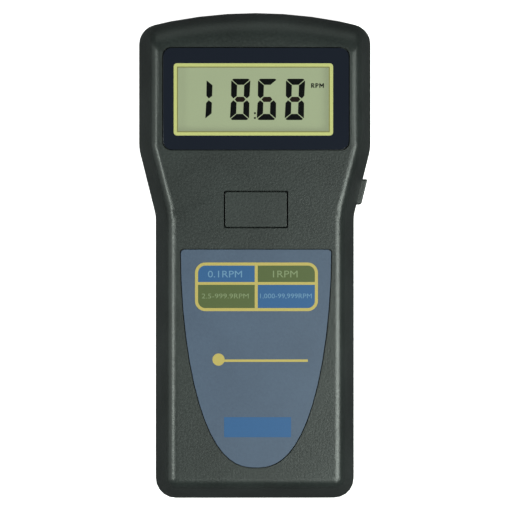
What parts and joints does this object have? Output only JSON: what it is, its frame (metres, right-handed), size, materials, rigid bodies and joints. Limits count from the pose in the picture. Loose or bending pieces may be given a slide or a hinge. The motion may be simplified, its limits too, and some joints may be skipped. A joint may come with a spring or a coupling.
{
  "type": "tachometer",
  "caption": "Hand-held laser tachometer: moulded case with a wide display head, narrower grip, front key, side key, sliding battery cover and optics in the top end.",
  "frame": {"origin": "bottom centre of the bounding box, under the middle of the case on the plane of its flat back", "axes": "+Z out of the front face, +Y along the case to the display head and its optical windows, +X to the side with the measuring key"},
  "size_m": [0.0764, 0.16, 0.037],
  "materials": {
    "case_abs": "fine moulded grain",
    "key_abs": "fine moulded grain",
    "display_acrylic": "polished, printed from behind",
    "lcd_glass": "polariser over glass",
    "label_film": "printed film on a plate",
    "frame_plastic": "moulded",
    "elastomer": "striped elastomer",
    "board_laminate": "solder mask",
    "chip_epoxy": "moulded epoxy",
    "screw_steel": "zinc plated",
    "contact_steel": "nickel plated spring steel",
    "laser_brass": "turned",
    "optical_acrylic": "clear moulded acrylic",
    "block_abs": "black, matt inside",
    "cell_jacket": "printed foil jacket",
    "plunger_plastic": "moulded"
  },
  "bodies": {
    "case": {"front_shell": "case_abs", "rear_shell": "case_abs", "display_lens": "display_acrylic", "lcd_panel": "lcd_glass", "front_label": "label_film", "lcd_frame": "frame_plastic", "sensor_header": "frame_plastic", "lcd_connector_upper": "elastomer", "lcd_connector_lower": "elastomer", "circuit_board": "board_laminate", "sensor_board": "board_laminate", "microcontroller": "chip_epoxy", "amplifier_chip": "chip_epoxy", "memory_switch": "chip_epoxy", "test_switch": "chip_epoxy", "case_screw_1": "screw_steel", "case_screw_2": "screw_steel", "case_screw_3": "screw_steel", "case_screw_4": "screw_steel", "board_screw_1": "screw_steel", "board_screw_2": "screw_steel", "board_screw_3": "screw_steel", "board_screw_4": "screw_steel", "optical_screw_1": "screw_steel", "optical_screw_2": "screw_steel", "crystal": "screw_steel", "battery_spring_1": "contact_steel", "battery_spring_2": "contact_steel", "battery_spring_3": "contact_steel", "battery_spring_4": "contact_steel", "contact_link_lower_left": "contact_steel", "contact_link_lower_right": "contact_steel", "contact_link_upper": "contact_steel", "terminal_positive": "contact_steel", "terminal_negative": "contact_steel", "laser_module": "laser_brass", "receiver_lens": "optical_acrylic", "laser_lens": "optical_acrylic", "photo_sensor": "optical_acrylic", "optical_block": "block_abs", "battery_cell_1": "cell_jacket", "battery_cell_2": "cell_jacket", "battery_cell_3": "cell_jacket", "battery_cell_4": "cell_jacket", "capacitor": "cell_jacket"},
    "memory_key": {"memory_button": "key_abs", "memory_switch_plunger": "plunger_plastic"},
    "side_key": {"test_button": "key_abs", "test_switch_plunger": "plunger_plastic"},
    "cover": {"battery_cover": "case_abs"}
  },
  "joints": [
    {"name": "memory_key_press", "type": "slide", "parent": "case", "child": "memory_key", "axis": [0, 0, -1], "range_m": [0, 0.0006], "stiffness_N_per_m": 2000},
    {"name": "side_key_press", "type": "slide", "parent": "case", "child": "side_key", "axis": [-1, 0, 0], "range_m": [0, 0.0008], "stiffness_N_per_m": 2000},
    {"name": "battery_cover_slide", "type": "slide", "parent": "case", "child": "cover", "axis": [0, -1, 0], "range_m": [0, 0.06]}
  ]
}
